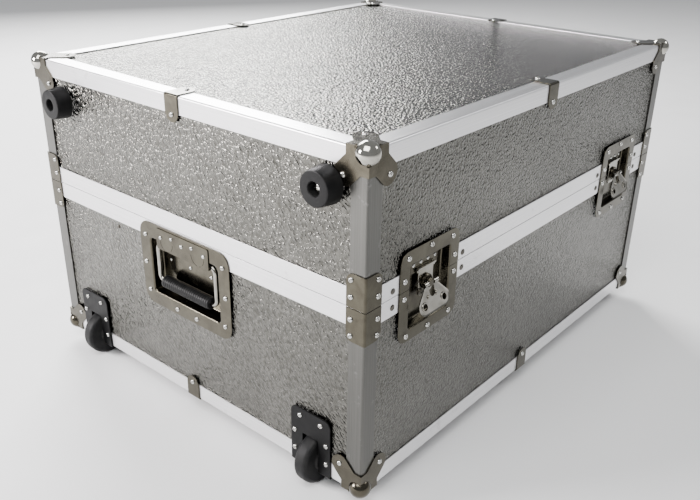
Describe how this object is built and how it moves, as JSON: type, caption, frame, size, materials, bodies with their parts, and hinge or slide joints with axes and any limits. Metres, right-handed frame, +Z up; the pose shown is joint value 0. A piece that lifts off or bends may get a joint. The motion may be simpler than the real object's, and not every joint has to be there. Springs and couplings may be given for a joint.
{
  "type": "equipment rack case",
  "caption": "Aluminium-edged flight case with a hinged lid, recessed butterfly latches, spring handles, corner wheels and an inner frame for rack equipment.",
  "frame": {"origin": "on the floor, midway along the whole object in X and Y", "axes": "+X away from the end with the wheels, +Y from the latches towards the hinges, +Z up"},
  "size_m": [0.757, 0.6258, 0.45],
  "materials": {
    "clad_plywood": "9 mm plywood faced with stucco-embossed aluminium sheet",
    "extrusion": "satin anodised extrusion",
    "nickel_steel": "bright nickel-plated pressed steel",
    "zinc_steel": "zinc-plated steel",
    "housing_steel": "black powder coat",
    "rack_steel": "black powder coat",
    "tyre_rubber": "solid black rubber",
    "foot_rubber": "moulded black rubber",
    "grip_rubber": "ribbed black rubber sleeve"
  },
  "bodies": {
    "base": {"base_back_panel": "clad_plywood", "base_ball_corner_far_end_back": "nickel_steel", "base_ball_corner_far_end_front": "nickel_steel", "base_ball_corner_wheel_end_back": "nickel_steel", "base_ball_corner_wheel_end_front": "nickel_steel", "base_closure_band": "extrusion", "base_edging": "extrusion", "base_edging_wheel_end": "extrusion", "base_far_end_panel": "clad_plywood", "base_floor_panel": "clad_plywood", "base_foot_back": "foot_rubber", "base_foot_front": "foot_rubber", "base_front_panel": "clad_plywood", "base_post_far_end_back": "extrusion", "base_post_far_end_front": "extrusion", "base_post_wheel_end_back": "extrusion", "base_post_wheel_end_front": "extrusion", "base_wheel_end_panel": "clad_plywood", "handle_dish_far_end": "nickel_steel", "handle_dish_wheel_end": "nickel_steel", "hinge_base_leaf_far_end": "zinc_steel", "hinge_base_leaf_wheel_end": "zinc_steel", "latch_dish_left": "nickel_steel", "latch_dish_right": "nickel_steel", "rack_frame": "rack_steel", "wheel_housing_back": "housing_steel", "wheel_housing_front": "housing_steel"},
    "handle_far_end": {"handle_bail_far_end": "nickel_steel", "handle_grip_far_end": "grip_rubber"},
    "handle_wheel_end": {"handle_bail_wheel_end": "nickel_steel", "handle_grip_wheel_end": "grip_rubber"},
    "lid": {"hinge_lid_leaf_far_end": "zinc_steel", "hinge_lid_leaf_wheel_end": "zinc_steel", "latch_keeper_dish_left": "nickel_steel", "latch_keeper_dish_right": "nickel_steel", "lid_back_panel": "clad_plywood", "lid_ball_corner_far_end_back": "nickel_steel", "lid_ball_corner_far_end_front": "nickel_steel", "lid_ball_corner_wheel_end_back": "nickel_steel", "lid_ball_corner_wheel_end_front": "nickel_steel", "lid_closure_band": "extrusion", "lid_edging": "extrusion", "lid_far_end_panel": "clad_plywood", "lid_foot_back": "foot_rubber", "lid_foot_front": "foot_rubber", "lid_front_panel": "clad_plywood", "lid_post_far_end_back": "extrusion", "lid_post_far_end_front": "extrusion", "lid_post_wheel_end_back": "extrusion", "lid_post_wheel_end_front": "extrusion", "lid_top_panel": "clad_plywood", "lid_wheel_end_panel": "clad_plywood"},
    "latch_claw_left": {"latch_claw_left": "nickel_steel"},
    "latch_claw_right": {"latch_claw_right": "nickel_steel"},
    "latch_spindle_left": {"latch_spindle_left": "nickel_steel"},
    "latch_spindle_right": {"latch_spindle_right": "nickel_steel"},
    "latch_wing_left": {"latch_wing_left": "nickel_steel"},
    "latch_wing_right": {"latch_wing_right": "nickel_steel"},
    "wheel_back": {"wheel_back": "tyre_rubber"},
    "wheel_front": {"wheel_front": "tyre_rubber"}
  },
  "joints": [
    {"name": "lid_hinge", "type": "hinge", "parent": "base", "child": "lid", "pos_m": [0.008, 0.3084, 0.266], "axis": [-1, 0, 0], "range_deg": [0, 100]},
    {"name": "latch_turn_left", "type": "hinge", "parent": "base", "child": "latch_spindle_left", "pos_m": [-0.2425, -0.2931, 0.26], "axis": [0, 1, 0], "range_deg": [0, 180]},
    {"name": "claw_slide_left", "type": "slide", "parent": "base", "child": "latch_claw_left", "axis": [0, 0, 1], "range_m": [0, 0.006]},
    {"name": "wing_fold_left", "type": "hinge", "parent": "latch_spindle_left", "child": "latch_wing_left", "pos_m": [-0.2425, -0.2953, 0.26], "axis": [-1, 0, 0], "range_deg": [0, 60]},
    {"name": "latch_turn_right", "type": "hinge", "parent": "base", "child": "latch_spindle_right", "pos_m": [0.2515, -0.2931, 0.26], "axis": [0, 1, 0], "range_deg": [0, 180]},
    {"name": "claw_slide_right", "type": "slide", "parent": "base", "child": "latch_claw_right", "axis": [0, 0, 1], "range_m": [0, 0.006]},
    {"name": "wing_fold_right", "type": "hinge", "parent": "latch_spindle_right", "child": "latch_wing_right", "pos_m": [0.2515, -0.2953, 0.26], "axis": [-1, 0, 0], "range_deg": [0, 60]},
    {"name": "handle_swing_wheel_end", "type": "hinge", "parent": "base", "child": "handle_wheel_end", "pos_m": [-0.352, 0.0044, 0.236], "axis": [0, 1, 0], "range_deg": [0, 90], "stiffness_Nm_per_rad": 0.2, "springref_deg": -11.46},
    {"name": "handle_swing_far_end", "type": "hinge", "parent": "base", "child": "handle_far_end", "pos_m": [0.368, 0.0044, 0.236], "axis": [0, -1, 0], "range_deg": [0, 90], "stiffness_Nm_per_rad": 0.2, "springref_deg": -11.46},
    {"name": "wheel_spin_front", "type": "hinge", "parent": "base", "child": "wheel_front", "pos_m": [-0.3445, -0.2156, 0.034], "axis": [0, 1, 0], "continuous": true},
    {"name": "wheel_spin_back", "type": "hinge", "parent": "base", "child": "wheel_back", "pos_m": [-0.3445, 0.2264, 0.034], "axis": [0, 1, 0], "continuous": true}
  ],
  "couplings": [
    {"joint": "claw_slide_left", "follows": "latch_turn_left", "m_per_rad": 0.0019},
    {"joint": "claw_slide_right", "follows": "latch_turn_right", "m_per_rad": 0.0019}
  ]
}
